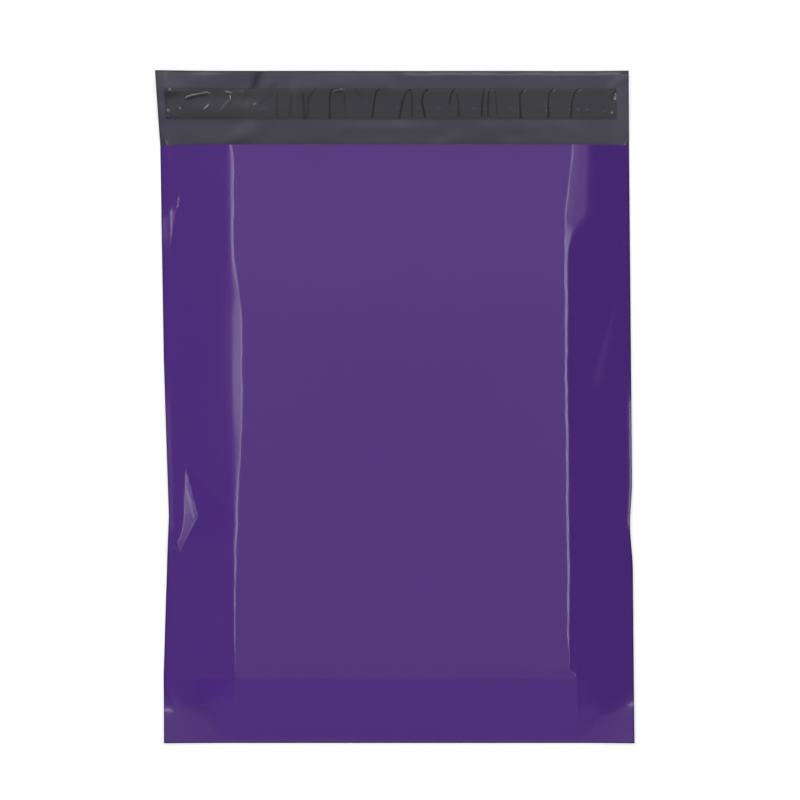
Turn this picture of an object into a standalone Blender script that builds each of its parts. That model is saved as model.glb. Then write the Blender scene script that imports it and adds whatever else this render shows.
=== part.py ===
"""Poly mailer bag, lying on its back with the flap open.

Metres, +Z up. +X runs across the bag and +Y from the bottom fold to the flap.
The origin is on the table under the middle of the bag.

One sheet of film makes the back, the front and the flap. It is folded at the bottom and
welded down both sides. A place on the film is given by c, its distance across from the
bag's middle line, and s, its distance up from the bottom fold.
"""

import bpy
import bmesh
import numpy as np

# The film
film_width = 0.254
bag_length = 0.321
flap_length = 0.040
film_gauge = 0.00006
left_weld = 0.0040
right_weld = 0.0026
bottom_pinch = 0.0020

# The way the air-filled front stands up between its welds
puff_height = 0.0160
mouth_height = 0.0116
puff_taper = 0.120
left_slope = 0.0400
right_slope = 0.0340
right_slope_at_mouth = 0.0276
right_slope_at_foot = 0.0302
ridge_radius = 0.0016
soft_ridge_radius = 0.0042
soft_ridge_at = 0.194
soft_ridge_length = 0.090
foot_length = 0.0355
foot_shoulder = 0.0090
foot_shoulder_fall = 0.05
foot_sag = 0.70

# The long facet along the right ridge under the mouth
facet_length = 0.056
facet_inside = 0.0108
facet_outside = 0.0065
facet_least = 0.0016
facet_fall = 0.25

# How the welds lift off the table, and how the filled sides pull them in
seam_lift = 0.0032
seam_lift_at_mouth = 0.0024
fold_lift = 0.0014
fold_lift_reach = 0.022
lean = 0.0032
foot_pull = 0.0014
mid_pull = 0.0030
waist_pull = 0.0050
mouth_pull = 0.0021
waist_at = 0.122
waist_reach_down = 0.045
waist_reach_up = 0.084
right_notch = 0.0013
right_notch_at = 0.117
right_notch_reach = 0.024

# The crumple on the left weld, and the small folds of the slack sides
crumple_at = 0.104
crumple_lift = 0.0022
crumple_reach = 0.016
nick_at = 0.270
nick_length = 0.020
wedge_at = 0.216
wedge_length = 0.036

# The open flap
flap_curl = 0.0022
flap_corner_lift = 0.0042
flap_corner_reach = 0.055
flap_wave = 0.0004
flap_wave_length = 0.095

# The closure strip on the flap's inner face
contact_gap = 0.0003
strip_left_inset = 0.0042
strip_right_inset = 0.0072
liner_from_edge = 0.0095
liner_width = 0.0165
liner_gauge = 0.00005
liner_bare_end = 0.0035
glue_width = 0.0120
glue_gauge = 0.00005
tunnel_height = 0.0009
tunnel_half_width = 0.0026
# Along the liner from its left end, as shares of its length
tunnel_places = (0.13, 0.37, 0.47, 0.54, 0.57, 0.65, 0.71, 0.79, 0.85, 0.91)
tunnel_shares = (0.9, 0.6, 0.5, 1.0, 0.6, 0.9, 1.0, 0.7, 0.8, 0.6)

total_length = bag_length + flap_length
half_width = film_width / 2


def ramp(t):
    return np.clip(t, 0.0, 1.0)


def smooth(t):
    t = ramp(t)
    return t * t * (3 - 2 * t)


def soft_min(a, b, blend):
    """The lesser of a and b, with the corner between them rounded over a difference of blend."""
    return np.minimum(a, b) - np.maximum(blend - np.abs(a - b), 0) ** 2 / (4 * blend)


def window(t):
    """1 at t = 0, falling smoothly to 0 at t = -1 and t = 1."""
    return smooth(1 - np.abs(t))


def tent(c, s, start, end, half_breadth):
    """1 along the line from start to end, falling straight to 0 at half_breadth from it."""
    start = np.array(start)
    along = np.array(end) - start
    t = ((c - start[0]) * along[0] + (s - start[1]) * along[1]) / (along @ along)
    t = ramp(t)
    away = np.hypot(c - start[0] - t * along[0], s - start[1] - t * along[1])
    return ramp(1 - away / half_breadth)


# The two long ridges, where the flat top of the puff turns down towards the welds


def left_ridge(s):
    return -half_width + left_slope + 0 * s


def right_ridge(s):
    to_mouth = facet_opening(s)
    to_foot = ramp((foot_length + foot_shoulder - s) / foot_shoulder)
    inset = right_slope
    inset = inset + (right_slope_at_mouth - right_slope) * to_mouth
    inset = inset + (right_slope_at_foot - right_slope) * to_foot
    return half_width - inset


def facet_opening(s):
    """1 at the mouth, 0 where the facet runs out into the ridge."""
    return ramp((s - bag_length + facet_length) / facet_length)


def left_blend(s):
    softness = window((s - soft_ridge_at) / soft_ridge_length)
    radius = ridge_radius + (soft_ridge_radius - ridge_radius) * softness
    return radius / (left_slope - left_weld)


def side_profile(c, s):
    """Height across the bag as a share of the puff: 0 at the welds, 1 between the ridges."""
    from_left = (c + half_width - left_weld) / (left_slope - left_weld)
    from_right = (half_width - right_weld - c) / (half_width - right_weld - right_ridge(s))
    facet_start = right_ridge(s) - facet_inside * facet_opening(s)
    facet = 1 - facet_fall * (c - facet_start) / (facet_inside + facet_outside)
    across = soft_min(np.ones_like(c), from_left, left_blend(s))
    across = soft_min(across, from_right, ridge_radius / right_slope)
    return soft_min(across, facet, facet_least / right_slope)


def length_profile(s):
    """Height along the bag as a share of the puff: 0 at the bottom pinch, 1 above the foot."""
    t = ramp((s - bottom_pinch) / (foot_length - bottom_pinch))
    foot = (1 - foot_sag) * t + foot_sag * t * t
    rounding = ramp((foot_length + foot_shoulder - s) / foot_shoulder)
    shoulder = 1 - foot_shoulder_fall * rounding**2
    return np.where(s < foot_length, foot * (1 - foot_shoulder_fall), shoulder)


def puff(s):
    return mouth_height + (puff_height - mouth_height) * smooth((bag_length - s) / puff_taper)


def side_folds(c, s):
    """The slack film's folds on the front, as shares of the height there."""

    def left(share, up):
        return -half_width + share * left_slope, up

    def right(share, up):
        return half_width - share * right_slope, up

    knot = left(0.23, crumple_at)
    above_crumple = crumple_at + crumple_reach
    below_crumple = crumple_at - 0.6 * crumple_reach
    mid_crumple = crumple_at + 0.4 * crumple_reach
    # Height, start, end, and half breadth as a share of the slope's width
    folds = (
        (-0.50, left(0, crumple_at), knot, 0.15),
        (0.40, knot, left(0.05, above_crumple), 0.13),
        (0.34, knot, left(0.05, below_crumple), 0.13),
        (-0.12, left(0.50, mid_crumple), left(0.60, above_crumple + crumple_reach), 0.18),
        (0.14, left(0.05, nick_at - nick_length / 2), left(0.30, nick_at + nick_length / 2), 0.15),
        (0.16, left(0.08, foot_length), left(0.90, 0.9 * foot_length), 0.15),
        (0.20, left(0.08, 0.55 * foot_length), left(0.95, 0.30 * foot_length), 0.20),
        (-0.16, left(0.10, 0.80 * foot_length), left(0.90, 0.60 * foot_length), 0.15),
        (0.08, right(0.56, wedge_at - wedge_length / 2), right(0.24, wedge_at + wedge_length / 2), 0.20),
        (-0.14, right(0.90, foot_length), right(0.76, 0.12 * foot_length), 0.18),
    )
    breadth = (left_slope + right_slope) / 2
    return sum(height * tent(c, s, start, end, share * breadth) for height, start, end, share in folds)


def seam_height(s):
    to_mouth = smooth((s - bag_length + puff_taper) / puff_taper)
    return seam_lift + (seam_lift_at_mouth - seam_lift) * to_mouth


def back_height(c, s):
    """The middle of the film's thickness in the back sheet and the flap."""
    left_out = ramp((left_ridge(s) - c) / left_slope)
    right_out = ramp((c - right_ridge(s)) / (half_width - right_ridge(s)))
    crumple = crumple_lift * window((s - crumple_at) / crumple_reach)
    sides = left_out**2 * (seam_height(s) + crumple) + right_out**2 * seam_height(s)
    fold = fold_lift * ramp((fold_lift_reach - s) / fold_lift_reach) ** 2
    return film_gauge / 2 + sides + fold + flap_height(c, s)


def flap_height(c, s):
    up = ramp((s - bag_length) / flap_length)
    corner = ramp((flap_corner_reach - half_width - c) / flap_corner_reach) ** 2
    ripple = smooth(2 * up) * flap_wave * (1 - np.cos(2 * np.pi * c / flap_wave_length))
    return up**2 * flap_curl + up * corner * flap_corner_lift + ripple


def front_height(c, s):
    """The middle of the film's thickness in the front: straight slopes from the welds to the puff's top."""
    along = length_profile(s)
    share = np.maximum(side_profile(c, s) * along, 0) * (1 + side_folds(c, s))
    at_left_weld = back_height(left_weld - half_width + 0 * c, s)
    at_right_weld = back_height(half_width - right_weld + 0 * c, s)
    weld = np.where(c < 0, at_left_weld, at_right_weld)
    base = back_height(c, s) * (1 - along) + weld * along
    return base + (puff(s) - base) * share


def left_pull(s):
    places = (
        0,
        foot_length,
        waist_at - waist_reach_down,
        waist_at,
        waist_at + waist_reach_up,
        bag_length,
        total_length,
    )
    pulls = (foot_pull, foot_pull, mid_pull, waist_pull, mid_pull, mouth_pull, 0)
    return np.interp(s, places, pulls)


def plan_x(c, s):
    """Where a place on the film lies across the table."""
    slant = lean * (0.5 - s / total_length)
    left = ramp((left_ridge(s) - c) / left_slope)
    right = ramp((c - right_ridge(s)) / (half_width - right_ridge(s)))
    notch = right_notch * window((s - right_notch_at) / right_notch_reach)
    return c + left * (slant + left_pull(s)) + right * (slant - notch)


def plan_y(s):
    return s - total_length / 2


# Meshes


def between(marks, counts):
    """Places from each mark to the next, in as many equal steps as counts says."""
    places = [marks[0]]
    for start, end, count in zip(marks[:-1], marks[1:], counts):
        places += [start + (end - start) * (i + 1) / count for i in range(count)]
    return places


def film_columns(s):
    """Places across the film at s, closest together where it bends."""
    left = left_ridge(s)
    right = right_ridge(s)
    inside = np.maximum(facet_inside * facet_opening(s), soft_ridge_radius)
    outside = np.maximum(facet_outside * facet_opening(s), soft_ridge_radius)
    marks = (
        -half_width + 0 * s,
        -half_width + left_weld + 0 * s,
        left - soft_ridge_radius,
        left,
        left + soft_ridge_radius,
        right - inside,
        right,
        right + outside,
        half_width - right_weld + 0 * s,
        half_width + 0 * s,
    )
    return between(marks, (1, 6, 2, 2, 11, 2, 2, 5, 1))


row_marks = (
    0,
    bottom_pinch,
    foot_length,
    foot_length + foot_shoulder,
    crumple_at - crumple_reach,
    crumple_at + crumple_reach,
    bag_length,
    total_length,
)
row_counts = (1, 6, 3, 3, 6, 11, 6)
film_rows = between(row_marks, row_counts)
rows_below_mouth = sum(row_counts[:-1])


def grid_mesh(name, columns, rows):
    """A flat grid of the given numbers of squares, one metre on a side."""
    bpy.ops.mesh.primitive_grid_add(x_subdivisions=columns, y_subdivisions=rows, size=1)
    obj = bpy.context.object
    obj.name = name
    obj.data.name = name
    return obj


def lay_grid(obj, columns, rows, place):
    """Moves each point of the grid to place(i, j), which takes its column and row."""
    flat = np.empty(len(obj.data.vertices) * 3)
    obj.data.vertices.foreach_get("co", flat)
    points = flat.reshape(-1, 3)
    i = np.rint((points[:, 0] + 0.5) * columns).astype(int)
    j = np.rint((points[:, 1] + 0.5) * rows).astype(int)
    obj.data.vertices.foreach_set("co", np.stack(place(i, j), axis=1).ravel())
    obj.data.update()


def film_sheet(name, first, last, low, high, height):
    """A stretch of the film's middle surface, from one column and row to another."""
    rows = np.array(film_rows)
    across = np.array([film_columns(s) for s in rows])

    def place(i, j):
        c = across[j + low, i + first]
        s = rows[j + low]
        return plan_x(c, s), plan_y(s), height(c, s)

    sheet = grid_mesh(name, last - first, high - low)
    lay_grid(sheet, last - first, high - low, place)
    return sheet


def strip_sheet(name, start, end, low, high, height, steps):
    """A strip lying across the flap, from c = start to end and from s = low to high."""
    across = np.linspace(start, end, steps + 1)
    up = np.linspace(low, high, 5)

    def place(i, j):
        c = across[i]
        s = up[j]
        return plan_x(c, s), plan_y(s), height(c, s)

    sheet = grid_mesh(name, steps, 4)
    lay_grid(sheet, steps, 4, place)
    return sheet


def give_thickness(obj, gauge, mode, offset):
    """Walls of one gauge. The surface is made triangles first, so that both faces bend alike."""
    obj.modifiers.new("facets", "TRIANGULATE")
    wall = obj.modifiers.new("gauge", "SOLIDIFY")
    wall.solidify_mode = mode
    wall.thickness = gauge
    wall.offset = offset
    if mode == "NON_MANIFOLD":
        wall.nonmanifold_thickness_mode = "CONSTRAINTS"
        wall.nonmanifold_merge_threshold = 1e-6
    obj.data.shade_smooth()


def film_material(name, colour, roughness):
    material = bpy.data.materials.new(name)
    material.use_nodes = True
    shader = material.node_tree.nodes["Principled BSDF"]
    shader.inputs["Base Color"].default_value = (*colour, 1)
    shader.inputs["Roughness"].default_value = roughness
    shader.inputs["Metallic"].default_value = 0
    return material


def make_bag_film():
    """Back, front and flap in one piece: the two sheets share their points along the welds."""
    last_column = len(film_columns(0.0)) - 1
    last_row = len(film_rows) - 1
    film = film_sheet("bag_film", 0, last_column, 0, last_row, back_height)
    front = film_sheet("front", 1, last_column - 1, 1, rows_below_mouth, front_height)
    joined = bmesh.new()
    joined.from_mesh(film.data)
    joined.from_mesh(front.data)
    bmesh.ops.remove_doubles(joined, verts=joined.verts, dist=1e-6)
    joined.to_mesh(film.data)
    joined.free()
    bpy.data.objects.remove(front)
    give_thickness(film, film_gauge, "NON_MANIFOLD", 0)
    film.data.materials.append(film_material("purple_film", (0.085, 0.038, 0.205), 0.25))
    return film


def strip_limits():
    top = total_length - liner_from_edge
    return -half_width + strip_left_inset, half_width - strip_right_inset, top - liner_width, top


def glue_height(c, s):
    return back_height(c, s) + film_gauge / 2 + contact_gap


def tunnels(c):
    """The cross wrinkles where the liner has come loose from the glue, as shares of their height."""
    start, end, _, _ = strip_limits()
    away = [np.abs(c - start - place * (end - start)) for place in tunnel_places]
    return sum(share * ramp(1 - gap / tunnel_half_width) for share, gap in zip(tunnel_shares, away))


def liner_height(c, s):
    return glue_height(c, s) + glue_gauge + contact_gap + tunnels(c) * tunnel_height


def make_adhesive_strip():
    start, end, low, high = strip_limits()
    inset = (liner_width - glue_width) / 2
    glue = strip_sheet(
        "adhesive_strip", start + inset, end - liner_bare_end, low + inset, high - inset, glue_height, 60
    )
    give_thickness(glue, glue_gauge, "EXTRUDE", 1)
    glue.data.materials.append(film_material("hot_melt_glue", (0.30, 0.22, 0.15), 0.35))
    return glue


def make_release_liner():
    start, end, low, high = strip_limits()
    liner = strip_sheet("release_liner", start, end, low, high, liner_height, 120)
    give_thickness(liner, liner_gauge, "EXTRUDE", 1)
    liner.data.materials.append(film_material("grey_liner", (0.055, 0.053, 0.062), 0.2))
    return liner


for old in list(bpy.data.objects):
    bpy.data.objects.remove(old)
bag = bpy.data.collections.new("poly_mailer_bag")
bpy.context.scene.collection.children.link(bag)
for piece in (make_bag_film(), make_adhesive_strip(), make_release_liner()):
    for holder in piece.users_collection:
        holder.objects.unlink(piece)
    bag.objects.link(piece)
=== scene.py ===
# A glossy purple poly mailer lying on its back with the flap open, on a pale studio floor.
# The film is one sheet: c is the distance across it from the middle line, s the distance up from the
# bottom fold. Both are in metres, except in the lists of folds, which are in millimetres.
import math
import bpy
import numpy as np
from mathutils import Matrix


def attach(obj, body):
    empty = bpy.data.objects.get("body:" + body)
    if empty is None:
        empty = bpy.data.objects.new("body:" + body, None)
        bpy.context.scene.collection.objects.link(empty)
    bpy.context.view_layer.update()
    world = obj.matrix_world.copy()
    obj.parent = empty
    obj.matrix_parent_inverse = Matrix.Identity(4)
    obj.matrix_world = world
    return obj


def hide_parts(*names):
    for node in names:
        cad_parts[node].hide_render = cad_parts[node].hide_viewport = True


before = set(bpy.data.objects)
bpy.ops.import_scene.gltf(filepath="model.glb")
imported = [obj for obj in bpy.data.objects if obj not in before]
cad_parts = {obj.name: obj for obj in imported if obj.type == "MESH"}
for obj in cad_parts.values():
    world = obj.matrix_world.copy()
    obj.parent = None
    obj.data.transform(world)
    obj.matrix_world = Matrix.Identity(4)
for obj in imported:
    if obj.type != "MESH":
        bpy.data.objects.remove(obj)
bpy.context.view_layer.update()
print("frame loaded")

# The bag's main sizes are the CAD's own, in metres. The foot's sag and shoulder are finer here, and the weld
# flanges droop, less where they shine.
bag = dict(
    width=0.254, length=0.321, flap=0.040, gauge=0.00006,
    leftWeld=0.0040, rightWeld=0.0026, bottomPinch=0.0020,
    puff=0.0160, mouthPuff=0.0116, puffTaper=0.120,
    leftSlope=0.0400, rightSlope=0.0340, rightSlopeAtMouth=0.0276, rightSlopeAtFoot=0.0302,
    facetLength=0.056, foot=0.0355, shoulder=0.0060, shoulderFall=0.035, footSag=0.15,
    seamLift=0.0032, seamLiftAtMouth=0.0024, foldLift=0.0014, foldReach=0.022,
    lean=0.0032, footPull=0.0014, midPull=0.0030, waistPull=0.0050, mouthPull=0.0021,
    waistAt=0.122, waistDown=0.045, waistUp=0.084,
    notch=0.0013, notchAt=0.117, notchReach=0.024,
    crumpleAt=0.104, crumpleLift=0.0022, crumpleReach=0.016,
    flangeDroop=0.50, flangeFoot=0.034, flangeCalm=0.9, flangeCalmReach=0.006,
    flangeShine=0.38, shineFrom=0.108, shineRise=0.010, shineTo=0.200, shineFall=0.020,
    cornerShine=1.15, cornerFrom=0.257, cornerRise=0.016, cornerTo=0.2860, cornerFall=0.003,
)
total = bag["length"] + bag["flap"]
half = bag["width"] / 2


def ramp(t):  # t held between 0 and 1
    return np.clip(t, 0.0, 1.0)


def smooth(t):  # an S curve from 0 to 1
    t = ramp(t)
    return t * t * (3 - 2 * t)


def window(t):  # 1 at 0, falling smoothly to 0 at -1 and 1
    return smooth(1 - np.abs(t))


def softMin(a, b, blend):  # the lesser of two, the corner between them rounded
    return np.minimum(a, b) - np.maximum(blend - np.abs(a - b), 0) ** 2 / (4 * blend)


def nearest(c, s, path):
    # distance to a path of places in millimetres, which side of it a place lies on, and how far along
    best = np.full(np.broadcast(c, s).shape, 1000.0)
    side, along = 0 * best, 0 * best
    for i, (start, end) in enumerate(zip(path[:-1], path[1:])):
        x, y = c * 1000 - start[0], s * 1000 - start[1]
        dx, dy = end[0] - start[0], end[1] - start[1]
        t = ramp((x * dx + y * dy) / (dx * dx + dy * dy))
        away = np.hypot(x - t * dx, y - t * dy)
        nearer = away < best
        side = np.where(nearer, y * dx - x * dy, side)  # over 0 on the left, going along the path
        along = np.where(nearer, (i + t) / (len(path) - 1), along)
        best = np.minimum(best, away)
    return best, side > 0, along


def foldShape(c, s, path, left, right, taper):
    # 1 on the path, 0 as far off as left and right say; over 0, taper narrows its end, under 0 both ends
    away, onLeft, along = nearest(c, s, path)
    size = 1 - taper * along if taper >= 0 else 1 + taper * np.abs(2 * along - 1)
    return ramp(1 - away / (np.where(onLeft, left, right) * size)), size


def crease(c, s, height, path, left, right, taper=0.0):  # a straight-sided fold
    shape, size = foldShape(c, s, path, left, right, taper)
    return height / 1000 * size * shape


def rib(c, s, height, path, left, right, taper=0.0):  # a round-backed fold
    shape, size = foldShape(c, s, path, left, right, taper)
    return height / 1000 * size * smooth(shape)


def facetOpening(s):  # 0 up most of the bag, then rising straight to 1 at the mouth
    return ramp((s - bag["length"] + bag["facetLength"]) / bag["facetLength"])


def leftRidge(s):  # straight up the bag, a slope's breadth in from the edge
    return -half + bag["leftSlope"] + 0 * s


def rightRidge(s):  # as on the left, but nearer the edge by the mouth and at the foot
    toFoot = ramp((bag["foot"] + bag["shoulder"] - s) / bag["shoulder"])
    inset = bag["rightSlope"] + (bag["rightSlopeAtMouth"] - bag["rightSlope"]) * facetOpening(s)
    return half - inset - (bag["rightSlopeAtFoot"] - bag["rightSlope"]) * toFoot


# Between each side slope and the flat top runs a facet, tilted so that it shines: a thread of light where
# it is narrow, a band where the film slackens. Places along the bag, widths inward from the crest and shifts
# of the crest across the bag are in millimetres. Where a facet is wide it is slack, and tilts a little more.
facets = dict(
    tilt=math.tan(math.radians(8.5)), weldShare=0.83, crisp=0.0050, thinSoft=0.010, wideSoft=0.080,
    leftSlackFrom=0.001, leftSlackOver=0.003, leftSteeper=0.16,
    rightSlackFrom=0.002, rightSlackOver=0.004, rightSteeper=0.17,
    leftPlaces=(38, 60, 98, 140, 149, 185, 225, 246, 262, 300, 316, 321),
    leftWidths=(0.3, 0.8, 1.1, 2.3, 3.6, 5.8, 5.8, 3.6, 1.8, 1.8, 1.6, 0.8),
    leftShifts=(1.2, 1.2, 1.3, 1.7, 1.0, 0.2, 0.1, -0.3, -0.6, -0.8, -0.8, -0.8),
    rightPlaces=(44, 60, 90, 217, 265, 274.7, 278, 284, 321),
    rightWidths=(0.3, 1.2, 1.4, 1.4, 1.5, 3.2, 5.3, 8.3, 6.5),
    rightShifts=(0.4, 0.1, 0.0, -1.2, -1.0, -0.1, 1.4, 3.4, 2.0),
    waver=0.00016, widthWaver=0.06, widthWaverMost=0.001,
)


def facetWidth(s, side):
    # as listed, with two small waves along the bag
    width = np.interp(s * 1000, facets[side + "Places"], facets[side + "Widths"]) / 1000
    waves = 1.6 * np.sin(s * 330 + 1) + np.sin(s * 870)
    return width + facets["widthWaver"] * np.minimum(width, facets["widthWaverMost"]) * waves


def crestShift(s, side):
    # as listed, with the small wandering of a ridge in slack film: three waves, the longest the highest
    wander = np.sin(s * 95 + len(side)) + 0.5 * np.sin(s * 263 + 2) + 0.3 * np.sin(s * 610 + len(side))
    shift = np.interp(s * 1000, facets[side + "Places"], facets[side + "Shifts"]) / 1000
    return shift + facets["waver"] * wander


def leftCrest(s):  # where the side slope ends and the facet begins
    return leftRidge(s) + crestShift(s, "left")


def rightCrest(s):
    return rightRidge(s) + crestShift(s, "right")


def sideProfile(c, s):
    # height across the bag as a share of the puff: slopes up from the welds, shining facets, the flat top
    leftEdge = -half + bag["leftWeld"]
    rightEdge = half - bag["rightWeld"]
    fromLeft = (c - leftEdge) / (leftCrest(s) - leftEdge)
    fromRight = (rightEdge - c) / (rightEdge - rightCrest(s))
    leftSlack = ramp((facetWidth(s, "left") - facets["leftSlackFrom"]) / facets["leftSlackOver"])
    rightSlack = ramp((facetWidth(s, "right") - facets["rightSlackFrom"]) / facets["rightSlackOver"])
    tilt = facets["tilt"] / (puff(s) - facets["weldShare"] * seamHeight(s))
    leftTilt = tilt * (1 + facets["leftSteeper"] * leftSlack)
    rightTilt = tilt * (1 + facets["rightSteeper"] * rightSlack)
    leftFacet = 1 - leftTilt * (leftCrest(s) + facetWidth(s, "left") - c)
    rightFacet = 1 - rightTilt * (c - rightCrest(s) + facetWidth(s, "right"))
    softer = facets["wideSoft"] - facets["thinSoft"]
    across = softMin(1.0, leftFacet, facets["crisp"])
    across = softMin(across, rightFacet, facets["crisp"])
    across = softMin(across, fromLeft, facets["thinSoft"] + softer * leftSlack)
    return softMin(across, fromRight, facets["thinSoft"] + softer * rightSlack)


def lengthProfile(s):
    # height along the bag as a share of the puff: a sagging foot, then a rounded shoulder
    t = ramp((s - bag["bottomPinch"]) / (bag["foot"] - bag["bottomPinch"]))
    foot = (1 - bag["footSag"]) * t + bag["footSag"] * t * t
    rounding = ramp((bag["foot"] + bag["shoulder"] - s) / bag["shoulder"])
    shoulder = 1 - bag["shoulderFall"] * rounding**2
    return np.where(s < bag["foot"], foot * (1 - bag["shoulderFall"]), shoulder)


def puff(s):  # height of the flat top, less towards the mouth
    fromMouth = smooth((bag["length"] - s) / bag["puffTaper"])
    return bag["mouthPuff"] + (bag["puff"] - bag["mouthPuff"]) * fromMouth


# Folds of the slack front: height, path of places (across from the middle, up from the bottom fold), breadth
# to the left and to the right of the path, and how far it narrows to its end. All in millimetres. Creases
# have straight sides, and swells round backs.
creases = (
    (0.12, ((-109.8, 122.4), (-112.0, 129.0), (-115.6, 139.0)), 1.6, 1.2, 0.6),  # hooked tip of the petal
    (-0.50, ((-127.0, 108.0), (-119.6, 104.3)), 2.4, 2.6, 0.2),  # the crumple's drawn-in point
    (0.50, ((-119.8, 104.3), (-126.2, 119.4)), 1.5, 1.5, 0.3),
    (0.50, ((-119.8, 104.0), (-126.4, 97.6)), 1.5, 1.5, 0.3),
    (0.20, ((-120.6, 108.0), (-123.0, 140.0), (-124.4, 172.0)), 1.6, 1.4, 0.6),  # line beside the weld
    (-0.66, ((-118.4, 285.2), (-122.6, 262.0)), 11.0, 4.6, 0.90),  # pale corner high on the left
    (-2.50, ((-114.8, 147.0), (-108.3, 122.0), (-118.6, 104.5)), 17.5, 10.4, -0.85),  # petal
    (0.12, ((-88.6, 31.8), (-123.0, 37.0)), 2.4, 2.4, 0.3),  # line across the foot
    (0.20, ((120.0, 267.0), (122.0, 258.0)), 1.4, 1.2, 0.3),
    (0.30, ((127.0, 118.0), (121.0, 112.0)), 1.6, 2.4, 0.4),
    (-0.36, ((94.6, 36.0), (96.4, 44.0), (94.6, 54.0)), 3.2, 2.4, 0.5),  # nick in the right ridge
)
swells = (
    (-0.95, ((104.0, 196.0), (118.4, 237.0)), 12.0, 8.5, 0.85),  # pale wedge on the right side
    (0.16, ((-104.5, 59.7), (-124.0, 63.4)), 3.0, 3.0, 0.3),
    (0.12, ((-121.0, 21.0), (-87.7, 11.3)), 4.0, 10.0, 0.3),  # low fold across the foot
    (0.14, ((-85.6, 36.0), (-85.2, 3.0)), 4.0, 3.0, 0.3),
    (0.14, ((97.0, 34.0), (97.6, 3.0)), 3.0, 4.0, 0.3),
)


# In metres: how far from the welds and the bottom fold the folds are whole, and the height of a faint
# waviness all over
hold = dict(fromWeld=0.0016, fromFold=0.004, slack=0.00010)


def frontFolds(c, s):
    # held down at the welds and the bottom fold, which the folds don't cross
    fromWeld = np.minimum(c + half - bag["leftWeld"], half - bag["rightWeld"] - c)
    held = ramp(fromWeld / hold["fromWeld"]) * ramp((s - bag["bottomPinch"]) / hold["fromFold"])
    slack = hold["slack"] * np.sin(c * 61 + s * 23 + 1) * np.sin(s * 47 - c * 17)
    folds = sum(crease(c, s, *fold) for fold in creases) + sum(rib(c, s, *swell) for swell in swells)
    return held * (slack + folds)


def seamHeight(s):  # how far the welds stand off the table
    toMouth = smooth((s - bag["length"] + bag["puffTaper"]) / bag["puffTaper"])
    return bag["seamLift"] + (bag["seamLiftAtMouth"] - bag["seamLift"]) * toMouth


def flangeFall(c, s):
    # how far the weld flanges droop outwards, less where they shine, at the foot and beside the flap
    out = np.maximum(bag["leftWeld"] - half - c, 0) + np.maximum(c - half + bag["rightWeld"], 0)
    shine = smooth((s - bag["shineFrom"]) / bag["shineRise"])
    shine = shine * smooth((bag["shineTo"] - s) / bag["shineFall"])
    corner = smooth((s - bag["cornerFrom"]) / bag["cornerRise"])
    corner = corner * smooth((bag["cornerTo"] - s) / bag["cornerFall"])
    shine = bag["flangeShine"] * (shine + bag["cornerShine"] * corner * (c < 0))
    calm = bag["flangeCalm"] * smooth((s - bag["length"]) / bag["flangeCalmReach"])
    return bag["flangeDroop"] * out * (1 - shine - calm) * smooth(s / bag["flangeFoot"])


def backHeight(c, s):
    # middle of the film's thickness in the back sheet: flat, lifting as a square law towards welds and fold
    leftOut = ramp((leftRidge(s) - c) / bag["leftSlope"])
    rightOut = ramp((c - rightRidge(s)) / (half - rightRidge(s)))
    crumple = bag["crumpleLift"] * window((s - bag["crumpleAt"]) / bag["crumpleReach"])
    sides = leftOut**2 * (seamHeight(s) + crumple) + rightOut**2 * seamHeight(s)
    fold = bag["foldLift"] * ramp((bag["foldReach"] - s) / bag["foldReach"]) ** 2
    return bag["gauge"] / 2 + sides + fold - flangeFall(c, s) + flapHeight(c, s)


# The flap's own shape in metres, then its rolls and grooves in millimetres, written as the front's folds are
flapShape = dict(
    curl=0.0022, cornerLift=0.0042, cornerReach=0.055, wave=0.0004, waveLength=0.095, mottle=0.00007,
    edgeRoll=0.00055, edgeReach=0.0026, edgeLeast=0.35, edgeTurn=0.01, wavesFrom=0.5, foldsFrom=1 / 6,
)
flapRibs = (
    (0.80, ((-127.5, 350.0), (-104.0, 355.0), (-80.0, 361.5)), 9.0, 12.0, 0.3),  # top left corner bent over
    (0.70, ((-127.5, 338.0), (-100.0, 339.5), (-76.0, 339.0)), 9.0, 7.0, 0.0),  # step under the strip
    (0.50, ((-50.0, 352.0), (-20.0, 353.0), (-6.0, 353.0)), 8.0, 9.0, 0.0),  # long roll along the top
    (0.25, ((122.0, 346.0), (118.0, 353.0), (127.0, 358.0)), 4.0, 4.0, 0.0),
    (0.14, ((-65.5, 353.5), (-75.0, 342.0)), 4.0, 4.0, 0.4),  # beside the deep fold
    (0.35, ((-68.0, 338.0), (-78.0, 328.0), (-88.0, 320.0)), 8.0, 8.0, 0.0),
    (0.20, ((-30.0, 330.0), (18.0, 331.0)), 6.0, 5.0, 0.0),
    (-0.18, ((22.0, 323.0), (31.0, 331.0)), 6.0, 6.0, 0.0),
    (0.20, ((48.0, 331.0), (90.0, 331.5)), 6.0, 5.0, 0.0),
    (-0.16, ((60.0, 321.5), (64.0, 326.0)), 5.0, 6.0, 0.0),
)
flapGrooves = (
    (-0.12, ((-72.0, 363.0), (-76.0, 352.5), (-80.2, 345.1), (-82.4, 337.0)), 5.4, 4.6, 0.72),  # deep fold
    (-0.05, ((-64.5, 354.0), (-69.3, 349.9), (-75.0, 344.0)), 2.4, 2.6, 0.5),
)


def flapGloom(c, s):  # how deep in the flap's grooves a place lies, where little light comes
    deepest = flapGrooves[0][0]
    return ramp(sum(foldShape(c, s, *fold[1:])[0] * fold[0] / deepest for fold in flapGrooves))


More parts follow.
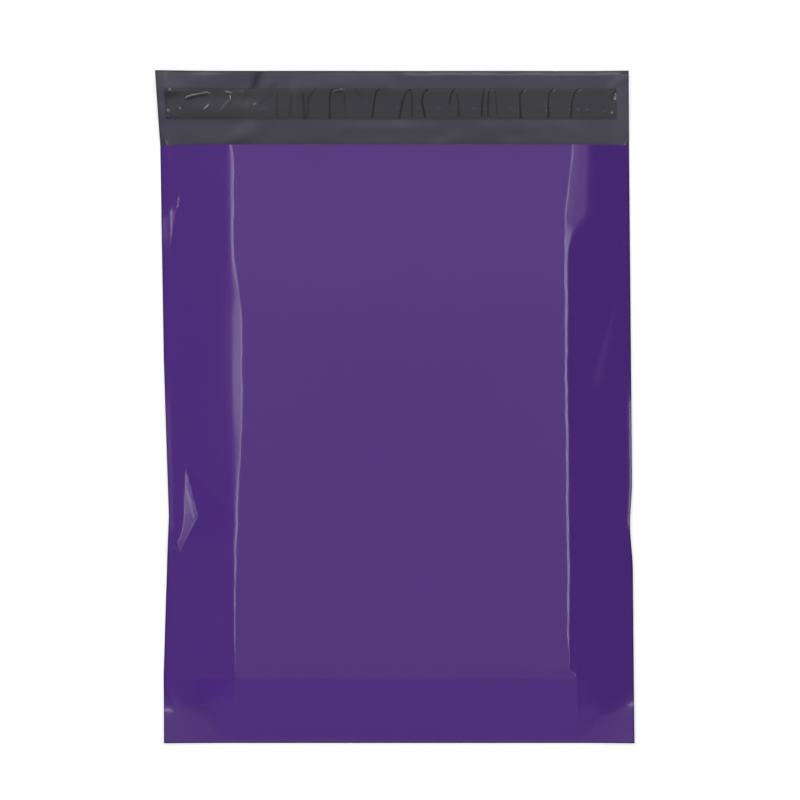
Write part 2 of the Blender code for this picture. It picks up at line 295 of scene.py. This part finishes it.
def flapHeight(c, s):
    # the flap curls up towards its end, most of all at the left corner, with long low waves and a few folds
    up = ramp((s - bag["length"]) / bag["flap"])
    corner = ramp((flapShape["cornerReach"] - half - c) / flapShape["cornerReach"]) ** 2
    wave = flapShape["wave"] * (1 - np.cos(2 * np.pi * c / flapShape["waveLength"]))
    wave = smooth(up / flapShape["wavesFrom"]) * wave
    rolled = flapShape["edgeLeast"] + (1 - flapShape["edgeLeast"]) * smooth(c / flapShape["edgeTurn"])
    roll = flapShape["edgeRoll"] * smooth((s - total) / flapShape["edgeReach"] + 1) * rolled
    mottle = flapShape["mottle"] * np.sin(c * 210 + 40 * s) * np.sin(s * 330 + c * 60)
    folds = sum(rib(c, s, *fold) for fold in flapRibs) + sum(crease(c, s, *fold) for fold in flapGrooves)
    folds = smooth(up / flapShape["foldsFrom"]) * (mottle + folds)
    return up**2 * flapShape["curl"] + up * corner * flapShape["cornerLift"] + wave + folds - roll


def frontHeight(c, s):
    # straight slopes from the welds up to the puff's flat top
    along = lengthProfile(s)
    share = np.maximum(sideProfile(c, s) * along, 0)
    heldAt = np.where(c < 0, np.minimum(c, bag["leftWeld"] - half), np.maximum(c, half - bag["rightWeld"]))
    weld = backHeight(heldAt, s)
    base = backHeight(c, s) * (1 - along) + weld * along
    return base + np.maximum((puff(s) - base) * share + frontFolds(c, s), 0)


# Painted shade along the film's outline, where its edge curls away from the light: how far in it reaches, how
# much darker it is painted, and how much rougher it is
rim = dict(reach=0.0012, shade=0.80, rough=0.25)


def rimShare(c, s, top):  # 1 on the outline, 0 a reach inside it
    inside = np.minimum(np.minimum(half - np.abs(c), s), top - s)
    return smooth(1 - inside / rim["reach"])


def leftPull(s):  # how far the left weld is drawn in, straight from place to place
    places = (0, bag["foot"], bag["waistAt"] - bag["waistDown"], bag["waistAt"],
              bag["waistAt"] + bag["waistUp"], bag["length"], total)
    pulls = (bag["footPull"], bag["footPull"], bag["midPull"], bag["waistPull"],
             bag["midPull"], bag["mouthPull"], 0)
    return np.interp(s, places, pulls)


def planX(c, s):
    # the welds lean and are drawn in; the ridges stay where they are
    slant = bag["lean"] * (0.5 - s / total)
    left = ramp((leftRidge(s) - c) / bag["leftSlope"])
    right = ramp((c - rightRidge(s)) / (half - rightRidge(s)))
    notch = bag["notch"] * window((s - bag["notchAt"]) / bag["notchReach"])
    return c + left * (slant + leftPull(s)) + right * (slant - notch)


def steps(marks, counts):  # places from each mark to the next, in equal steps
    spans = [np.linspace(a, b, n, endpoint=False) for a, b, n in zip(marks[:-1], marks[1:], counts)]
    return np.concatenate(spans + [np.array(marks[-1:])])


def placed(c, s, height):  # points in space for places on the film
    return np.stack([planX(c, s), s - total / 2 + 0 * c, height], axis=-1)


def gridNormals(points):  # square to both directions of a grid, pointing up
    alongRows = np.gradient(points, axis=0)
    alongColumns = np.gradient(points, axis=1)
    normal = np.cross(alongColumns, alongRows)
    return normal / np.linalg.norm(normal, axis=-1, keepdims=True)


def shell(points, below, above):
    # a closed skin around a grid of points: one face above it, one below, and walls round the edge
    rows, columns = points.shape[:2]
    normal = gridNormals(points)
    upper = (points + normal * above).reshape(-1, 3)
    lower = (points - normal * below).reshape(-1, 3)
    verts = np.concatenate([upper, lower])
    index = np.arange(rows * columns).reshape(rows, columns)
    a, b, c, d = index[:-1, :-1], index[:-1, 1:], index[1:, 1:], index[1:, :-1]
    top = np.stack([a, b, c, a, c, d], axis=-1).reshape(-1, 3)  # the same diagonals above and below
    bottom = top[:, ::-1] + rows * columns
    ring = np.concatenate([index[0, :-1], index[:-1, -1], index[-1, :0:-1], index[:0:-1, 0]])
    following = np.roll(ring, -1)
    under, underNext = ring + rows * columns, following + rows * columns
    wall = np.stack([under, underNext, following, under, following, ring], axis=-1).reshape(-1, 3)
    kinds = np.concatenate([np.full(len(top), 0), np.full(len(bottom), 1), np.full(len(wall), 2)])
    return verts, np.concatenate([top, bottom, wall]), kinds


def joinShells(shells):  # one mesh of several skins, each with its own three kinds of face
    verts, faces, kinds, start = [], [], [], 0
    for number, (v, f, k) in enumerate(shells):
        verts.append(v)
        faces.append(f + start)
        kinds.append(k + 3 * number)
        start += len(v)
    return np.concatenate(verts), np.concatenate(faces), np.concatenate(kinds)


sharpFrom = math.radians(50)


def meshPiece(name, verts, faces, slots, materials, paintedShade=None):
    # the last argument, from 0 to 1 at each vertex, is painted shade that darkens the film's colour and its
    # coat there
    mesh = bpy.data.meshes.new(name)
    mesh.vertices.add(len(verts))
    mesh.vertices.foreach_set("co", verts.astype(np.float32).ravel())
    mesh.loops.add(faces.size)
    mesh.loops.foreach_set("vertex_index", faces.astype(np.int32).ravel())
    mesh.polygons.add(len(faces))
    mesh.polygons.foreach_set("loop_start", np.arange(0, faces.size, 3, dtype=np.int32))
    if paintedShade is not None:
        mesh.attributes.new("paintedShade", "FLOAT", "POINT").data.foreach_set("value", paintedShade.astype(np.float32))
    for material in materials:
        mesh.materials.append(material)
    mesh.polygons.foreach_set("material_index", slots.astype(np.int32))
    mesh.update(calc_edges=True)
    mesh.validate()
    mesh.shade_smooth()
    mesh.set_sharp_from_angle(angle=sharpFrom)
    piece = bpy.data.objects.new(name, mesh)
    bpy.context.scene.collection.objects.link(piece)
    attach(piece, "root")
    return piece


class Wire:  # a socket whose operators add Math nodes
    def __init__(self, tree, socket=None):
        self.tree, self.socket = tree, socket

    def node(self, kind, settings, inputs, out=0):  # any node: its settings first, then values or links
        made = self.tree.nodes.new(kind)
        for name, value in settings.items():
            setattr(made, name, value)
        for name, value in inputs.items():
            if isinstance(value, Wire):
                self.tree.links.new(value.socket, made.inputs[name])
            else:
                made.inputs[name].default_value = value
        return Wire(self.tree, made.outputs[out])

    def math(self, operation, other, flip=False):
        a, b = (other, self) if flip else (self, other)
        return self.node("ShaderNodeMath", dict(operation=operation), {0: a, 1: b})

    def __add__(self, other):
        return self.math("ADD", other)

    def __radd__(self, other):
        return self.math("ADD", other, True)

    def __sub__(self, other):
        return self.math("SUBTRACT", other)

    def __rsub__(self, other):
        return self.math("SUBTRACT", other, True)

    def __mul__(self, other):
        return self.math("MULTIPLY", other)

    def __rmul__(self, other):
        return self.math("MULTIPLY", other, True)


def noise(wire, place, scale, detail=2.0):
    return wire.node("ShaderNodeTexNoise", {}, {"Vector": place, "Scale": scale, "Detail": detail})


def stretched(wire, place, size):  # the same place, with each axis stretched
    return wire.node("ShaderNodeMapping", {}, {"Vector": place, "Scale": size})


grain = dict(cloud=14, streak=9, streakStretch=(18, 3, 18), rough=60, peel=700, ripple=90, ior=1.5)


def filmMaterial(name, look):
    # glossy film: faint clouds in the colour, extrusion streaks along the web, painted shade along the rim
    # and in deep grooves that darkens the colour and the coat, fine orange peel
    material = bpy.data.materials.new(name)
    material.use_nodes = True
    tree = material.node_tree
    shader = tree.nodes["Principled BSDF"]
    wire = Wire(tree)
    place = wire.node("ShaderNodeTexCoord", {}, {}, "Object")
    clouds = noise(wire, place, grain["cloud"], 3)
    streaks = noise(wire, stretched(wire, place, grain["streakStretch"]), grain["streak"])
    # painted shade read from the mesh: it darkens the colour and the coat, and also roughens the film there
    paintedShade = wire.node("ShaderNodeAttribute", dict(attribute_name="paintedShade"), {}, "Fac")
    lit = 1 - paintedShade * rim["shade"]
    shade = (1 + (clouds - 0.5) * look["cloud"] + (streaks - 0.5) * look["streak"]) * lit
    grey = wire.node("ShaderNodeCombineColor", {}, {"Red": shade, "Green": shade, "Blue": shade})
    colour = wire.node("ShaderNodeMix", dict(data_type="RGBA", blend_type="MULTIPLY"),
                       {0: 1.0, 6: (*look["colour"], 1), 7: grey}, 2)
    tree.links.new(colour.socket, shader.inputs["Base Color"])
    rough = look["roughness"] + (noise(wire, place, grain["rough"]) - 0.5) * look["roughVary"]
    rough = rough + paintedShade * rim["rough"]
    tree.links.new(rough.socket, shader.inputs["Roughness"])
    peel = noise(wire, place, grain["peel"]) * look["peel"]
    peel = peel + noise(wire, place, grain["ripple"]) * look["ripple"]
    peel = peel + streaks * look["webLine"]
    bump = wire.node("ShaderNodeBump", {}, {"Strength": 1.0, "Distance": 1.0, "Height": peel})
    tree.links.new(bump.socket, shader.inputs["Normal"])
    shader.inputs["IOR"].default_value = grain["ior"]
    shader.inputs["Specular Tint"].default_value = (*look["tint"], 1)
    shader.inputs["Specular IOR Level"].default_value = look["specular"]
    tree.links.new((lit * look["coat"]).socket, shader.inputs["Coat Weight"])
    shader.inputs["Coat Roughness"].default_value = look["coatRoughness"]
    return material


purpleLook = dict(colour=(0.0705, 0.0168, 0.222), roughness=0.32, roughVary=0.05, cloud=0.06, streak=0.04,
                  peel=0.000003, ripple=0.00002, webLine=0.00001,
                  tint=(0.72, 0.48, 1.0), specular=0.55, coat=0.50, coatRoughness=0.13)
greyLook = dict(colour=(0.044, 0.040, 0.074), roughness=0.32, roughVary=0.05, cloud=0.16, streak=0.08,
                peel=0.000003, ripple=0.00002, webLine=0.00001,
                tint=(1.0, 1.0, 1.0), specular=0.45, coat=0.25, coatRoughness=0.16)
linerLook = dict(greyLook, colour=(0.014, 0.012, 0.028), specular=0.30, coat=0.75, coatRoughness=0.10)
glueLook = dict(greyLook, colour=(0.16, 0.115, 0.085), roughness=0.35, cloud=0.2)
purpleFilm = filmMaterial("purpleFilm", purpleLook)
greyFilm = filmMaterial("greyFilm", greyLook)
linerFilm = filmMaterial("linerFilm", linerLook)
glueBand = filmMaterial("glueBand", glueLook)


# Where the film's grids have their lines, in metres, and how many steps lie between
grid = dict(
    atEdge=0.001, besideCrest=0.0035, insideFacet=0.0015, backMiddle=-0.055,
    frontColumns=(1, 2, 44, 7, 6, 3, 11, 3, 6, 7, 30, 1, 1), backColumns=(1, 2, 68, 90, 1, 1),
    frontMarks=(0.085, 0.145, 0.319), frontSteps=(2, 25, 10, 24, 70, 98, 5),
    underCrumple=0.086, underMouth=0.280, backSteps=(1, 8, 6, 2, 26, 12, 8, 6, 46),
)


def ridgeColumns(s, counts):
    # places across the film at each s, closest together at welds and ridges: rows of s by columns
    left = leftCrest(s)
    leftEnd = left + facetWidth(s, "left")
    right = rightCrest(s)
    rightEnd = right - facetWidth(s, "right")
    start, end = 0 * s - half, 0 * s + half
    beside, inside = grid["besideCrest"], grid["insideFacet"]
    marks = [start, start + grid["atEdge"], start + bag["leftWeld"], left - beside, left, leftEnd,
             leftEnd + inside, rightEnd - inside, rightEnd, right, right + beside,
             end - bag["rightWeld"], end - grid["atEdge"], end]
    spans = [a[:, None] + (b - a)[:, None] * np.linspace(0, 1, n, endpoint=False)
             for a, b, n in zip(marks[:-1], marks[1:], counts)]
    return np.concatenate(spans + [marks[-1][:, None]], axis=1)


footMarks = (0, bag["bottomPinch"], bag["foot"])
frontMarks = (*footMarks, bag["foot"] + bag["shoulder"], *grid["frontMarks"], bag["length"])
backMarks = (*footMarks, bag["waistAt"] - bag["waistDown"], grid["underCrumple"], bag["waistAt"],
             bag["waistAt"] + bag["waistUp"], grid["underMouth"], bag["length"], total)
frontRows = steps(frontMarks, grid["frontSteps"])
backRows = steps(backMarks, grid["backSteps"])


def makeFilm():
    # the back sheet runs on as the flap; the front sheet lies on it at the welds, one gauge higher
    s = backRows[:, None]
    c = steps((-half, -half + grid["atEdge"], -half + bag["leftWeld"], grid["backMiddle"],
               half - bag["rightWeld"], half - grid["atEdge"], half), grid["backColumns"])[None, :]
    back = placed(c, s, backHeight(c, s))
    # painted shade on the back sheet: along its outline and in the flap's deep fold
    backPaintedShade = np.maximum(rimShare(c, s, total), flapGloom(c, s)).ravel()
    s = frontRows[:, None]
    c = ridgeColumns(s[:, 0], grid["frontColumns"])
    front = placed(c, s, frontHeight(c, s) + bag["gauge"])
    # painted shade along the front sheet's outline
    frontPaintedShade = rimShare(c, s, total).ravel()
    skin = bag["gauge"] / 2
    verts, faces, kinds = joinShells([shell(back, skin, skin), shell(front, skin, skin)])
    slots = np.isin(kinds, (0, 4)).astype(int)  # the back's upper face and the front's lower face are grey
    paintedShade = np.concatenate([backPaintedShade, backPaintedShade, frontPaintedShade, frontPaintedShade])
    film = meshPiece("mailer_film", verts, faces, slots, [purpleFilm, greyFilm], paintedShade)
    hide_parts("bag_film")
    print("film made with", len(faces), "triangles")


# The closure strip's sizes are in metres, apart from the blisters' reach, which is in millimetres
strip = dict(
    leftInset=0.0042, rightInset=0.0072, fromEdge=0.0095, width=0.0165, gauge=0.00005, gap=0.00015,
    bareEnd=0.0035, glueWidth=0.0120, glueGauge=0.00005,
    linerGap=0.00014, borderReach=0.0018, borderLeast=0.15,
    grooveDepth=0.00009, grooveShade=3.0, gloomMost=0.95, blisterReach=1.5, blisterShare=0.8,
    glueGrid=(120, 6), linerGrid=(760, 46),
)
# The liner's grooves across it and its few glinting ribs are written as the film's folds are, but a groove's
# first number says how deep it is and how much painted shade it gets, up to a third. The blisters along its
# edges are places across and up, and a height.
grooves = (
    (0.34, ((-35.0, 336.0), (-35.0, 345.6), (-34.4, 350.4), (-31.5, 352.6)), 1.1, 0.9, 0.4),
    (0.40, ((-12.0, 336.5), (-11.3, 343.5), (-10.2, 349.4), (-6.5, 353.5)), 1.1, 0.9, 0.4),
    (0.34, ((2.4, 335.5), (4.0, 343.5), (5.2, 348.0), (8.4, 351.8)), 1.3, 1.0, 0.3),
    (0.32, ((9.2, 337.0), (9.0, 347.0), (8.0, 351.8)), 1.0, 1.1, 0.3),
    (0.38, ((16.1, 336.5), (14.4, 344.5), (15.1, 348.5), (18.8, 352.6)), 1.2, 1.3, 0.3),
    (0.36, ((29.4, 343.4), (30.1, 348.3), (31.7, 351.2), (34.6, 353.6)), 1.2, 1.0, 0.3),
    (0.30, ((34.2, 337.0), (34.2, 343.5), (33.2, 348.4)), 0.9, 1.0, 0.3),
    (0.36, ((46.6, 336.8), (46.7, 344.0), (47.8, 351.4)), 1.0, 1.0, 0.4),
    (0.36, ((50.0, 336.8), (49.9, 344.0), (50.4, 349.0), (53.2, 352.4)), 0.9, 0.9, 0.4),
    (0.20, ((54.8, 337.5), (53.8, 349.6)), 1.0, 1.0, 0.3),
    (0.40, ((67.6, 336.0), (67.1, 343.5), (67.2, 348.6), (71.8, 353.4)), 1.2, 1.0, 0.4),
    (0.40, ((82.6, 336.0), (82.1, 344.0), (82.8, 349.1), (87.4, 352.8)), 1.2, 1.0, 0.4),
    (0.38, ((94.4, 335.8), (95.0, 344.0), (96.2, 349.2), (101.5, 352.9)), 1.1, 1.0, 0.4),
    (0.20, ((-63.4, 337.5), (-62.9, 349.0)), 1.4, 1.2, 0.3),
    (0.18, ((-56.5, 337.5), (-55.4, 348.0)), 1.6, 1.4, 0.3),
    (0.24, ((-48.6, 335.0), (-49.4, 348.6)), 1.8, 1.8, 0.3),
    (0.20, ((-46.8, 337.5), (-46.2, 346.7), (-41.0, 353.0)), 1.6, 1.4, 0.3),
    (0.18, ((-26.4, 337.5), (-27.4, 348.6)), 1.4, 1.4, 0.3),
    (0.16, ((-18.0, 346.4), (-22.0, 351.6)), 1.4, 1.4, 0.3),
    (0.24, ((117.8, 346.0), (120.6, 353.0)), 1.8, 1.4, 0.3),
)
glints = (
    (0.34, ((-111.3, 346.4), (-108.2, 347.5), (-105.5, 348.0), (-100.6, 349.0)), 1.3, 1.6, 0.1),
    (0.13, ((-99.5, 349.1), (-98.5, 346.7), (-99.6, 342.4), (-102.5, 339.7)), 1.3, 1.2, 0.0),
    (0.18, ((-90.8, 349.2), (-87.8, 348.6), (-87.8, 345.9), (-90.4, 342.9), (-93.5, 339.5)), 1.5, 1.3, 0.1),
    (0.15, ((-85.2, 352.6), (-83.3, 351.6), (-81.4, 349.0)), 1.3, 1.1, 0.1),
    (0.36, ((-31.4, 350.4), (-28.6, 350.9)), 1.7, 1.7, 0.0),
)
blisters = (
    (-122.2, 339.2, 0.20), (-122.0, 336.0, 0.20), (-120.6, 350.6, 0.14), (-115.8, 340.8, 0.17),
    (-117.2, 336.2, 0.10), (-37.6, 340.2, 0.14), (1.2, 340.6, 0.14), (7.2, 340.6, 0.10),
    (13.2, 340.6, 0.14), (18.8, 340.2, 0.09), (24.2, 340.4, 0.14), (31.7, 340.2, 0.14),
    (42.4, 340.2, 0.18), (44.0, 340.2, 0.13), (48.2, 340.2, 0.10), (53.0, 340.2, 0.13),
    (61.2, 340.2, 0.13), (65.0, 339.7, 0.11), (80.1, 339.7, 0.10), (92.8, 340.2, 0.10),
    (97.8, 340.0, 0.20), (103.4, 339.7, 0.19), (108.5, 339.2, 0.10), (113.6, 339.0, 0.20),
    (118.0, 338.6, 0.20),
)


def stripGrid(start, end, low, high, columns, rows):  # places on a rectangle of the flap
    return np.linspace(start, end, columns + 1)[None, :], np.linspace(low, high, rows + 1)[:, None]


def glueHeight(c, s):  # underside of the glue, a small gap above the flap
    return backHeight(c, s) + bag["gauge"] / 2 + strip["gap"]


# painted shade: a groove's depth sets how much darker the liner is painted there, as well as its small dip
def linerGloom(c, s):  # how deep in a groove of the liner a place lies
    return ramp(sum(strip["grooveShade"] * groove[0] * foldShape(c, s, *groove[1:])[0] for groove in grooves))


def linerHeight(c, s, low, top):
    # lies down on the flap along its border and stands off it a little inside
    raised = sum(rib(c, s, *glint) for glint in glints) - strip["grooveDepth"] * linerGloom(c, s)
    for across, up, height in blisters:
        away = np.hypot(c * 1000 - across, s * 1000 - up)
        raised = raised + strip["blisterShare"] * height / 1000 * smooth(1 - away / strip["blisterReach"])
    border = smooth(np.minimum(s - low, top - s) / strip["borderReach"])
    standoff = strip["linerGap"] * (strip["borderLeast"] + (1 - strip["borderLeast"]) * border)
    return glueHeight(c, s) + strip["glueGauge"] + standoff + raised


def makeStrip():
    # a thin band of glue across the flap, and the liner that covers it and runs past it all round
    top = total - strip["fromEdge"]
    low = top - strip["width"]
    start, end = -half + strip["leftInset"], half - strip["rightInset"]
    inset = (strip["width"] - strip["glueWidth"]) / 2
    c, s = stripGrid(start + inset, end - strip["bareEnd"], low + inset, top - inset, *strip["glueGrid"])
    glue = shell(placed(c, s, glueHeight(c, s)), 0, strip["glueGauge"])
    glue = meshPiece("glue_band", *glue[:2], 0 * glue[2], [glueBand])
    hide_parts("adhesive_strip")
    c, s = stripGrid(start, end, low, top, *strip["linerGrid"])
    linerVerts, linerFaces, kinds = shell(placed(c, s, linerHeight(c, s, low, top)), 0, strip["gauge"])
    # painted shade in the liner's grooves, darkening its colour and its coat
    gloom = strip["gloomMost"] * linerGloom(c, s).ravel()
    gloom = np.concatenate([gloom, gloom])
    liner = meshPiece("liner_strip", linerVerts, linerFaces, 0 * kinds, [linerFilm], gloom)
    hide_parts("release_liner")
    print("strip made with", len(linerFaces), "triangles in its liner")


# Lights: how bright each panel is, its size and distance in metres, and its angle off the vertical in
# degrees. The facets mirror the two strip lights. The low fills light the film's colour and aren't mirrored.
studio = dict(
    world=0.18, softbox=0.50, softboxSize=(1.4, 2.4), softboxHeight=2.0, softboxAngle=-6,
    stripLight=11.0, stripColour=(1.0, 0.98, 0.86), stripLift=4.6, stripSize=(0.06, 0.62),
    stripHeight=1.2, stripAngle=22.6, headLight=5.5, headAngle=24, headSize=(0.62, 0.12),
    leftFill=3.0, rightFill=1.2, footFill=3.6, headFill=3.4,
    fillSize=(0.7, 1.6), fillAngle=80, fillDistance=1.7,
    footPanel=0.24, footPanelAngle=52, leftPanel=0.12, leftPanelAngle=44,
    panelSize=(0.7, 1.6), panelDistance=1.6,
    floorSize=16, floorDrop=0.0001, floorColour=(0.9, 0.9, 0.9), floorGlow=0.45,
)
# Camera: the photograph's scale and the pixel of it that the bag's middle lies at
view = dict(millimetresPerPixel=0.5375, centrePixel=(395, 407), pixels=800, height=2.6, sensor=36.0)


def areaLight(name, radiance, size, angleX, angleY, distance, mirrored=True):
    # a soft panel facing the origin from an angle off the vertical; its power is worked out from its
    # radiance, so that its reflection is as bright at any size
    data = bpy.data.lights.new(name, "AREA")
    data.shape = "RECTANGLE"
    data.size, data.size_y = size
    data.energy = radiance * math.pi * size[0] * size[1]
    light = bpy.data.objects.new(name, data)
    a, b = math.radians(angleX), math.radians(angleY)
    light.location = (distance * math.sin(a), distance * math.sin(b), distance * math.cos(a) * math.cos(b))
    light.rotation_euler = (-b, a, 0)
    light.visible_camera = False
    light.visible_glossy = mirrored
    bpy.context.scene.collection.objects.link(light)
    return light


def makeStudio():
    # a soft box overhead, a strip light for each ridge and one at the head, low fills all round, faint panels
    areaLight("softbox", studio["softbox"], studio["softboxSize"],
              0, studio["softboxAngle"], studio["softboxHeight"])
    for name, turn in (("left", -1), ("right", 1)):
        panel = areaLight(name + "Strip", studio["stripLight"], studio["stripSize"],
                          turn * studio["stripAngle"], studio["stripLift"], studio["stripHeight"])
        panel.data.color = studio["stripColour"]
        areaLight(name + "Fill", studio[name + "Fill"], studio["fillSize"],
                  turn * studio["fillAngle"], 0, studio["fillDistance"], False)
    for name, turn in (("foot", -1), ("head", 1)):
        areaLight(name + "Fill", studio[name + "Fill"], studio["fillSize"][::-1],
                  0, turn * studio["fillAngle"], studio["fillDistance"], False)
    areaLight("footPanel", studio["footPanel"], studio["panelSize"][::-1],
              0, -studio["footPanelAngle"], studio["panelDistance"])
    areaLight("leftPanel", studio["leftPanel"], studio["panelSize"],
              -studio["leftPanelAngle"], 0, studio["panelDistance"])
    areaLight("headStrip", studio["headLight"], studio["headSize"],
              0, studio["headAngle"], studio["stripHeight"])
    world = bpy.data.worlds.new("studioAir")
    world.use_nodes = True
    world.node_tree.nodes["Background"].inputs["Color"].default_value = (1, 1, 1, 1)
    world.node_tree.nodes["Background"].inputs["Strength"].default_value = studio["world"]
    bpy.context.scene.world = world


def makeFloor():  # plain pale paper that glows a little, so that it comes out white
    bpy.ops.mesh.primitive_plane_add(size=studio["floorSize"], location=(0, 0, -studio["floorDrop"]))
    floor = bpy.context.object
    floor.name = "floor"
    paper = bpy.data.materials.new("floorPaper")
    paper.use_nodes = True
    shader = paper.node_tree.nodes["Principled BSDF"]
    shader.inputs["Base Color"].default_value = (*studio["floorColour"], 1)
    shader.inputs["Roughness"].default_value = 0.9
    shader.inputs["Specular IOR Level"].default_value = 0.1
    shader.inputs["Emission Color"].default_value = (1, 1, 1, 1)
    shader.inputs["Emission Strength"].default_value = studio["floorGlow"]
    floor.data.materials.append(paper)


def makeCamera():
    # straight down, with the bag's middle at the photograph's own pixel
    metresPerPixel = view["millimetresPerPixel"] / 1000
    data = bpy.data.cameras.new("camera")
    data.sensor_width = view["sensor"]
    data.lens = view["sensor"] * view["height"] / (view["pixels"] * metresPerPixel)
    camera = bpy.data.objects.new("camera", data)
    x, y = view["centrePixel"]
    middle = view["pixels"] / 2
    camera.location = ((middle - x) * metresPerPixel, (y - middle) * metresPerPixel, view["height"])
    bpy.context.scene.collection.objects.link(camera)
    bpy.context.scene.camera = camera


makeFilm()
makeStrip()
makeStudio()
makeFloor()
makeCamera()
bpy.context.scene.view_settings.view_transform = "Standard"
print("studio ready")
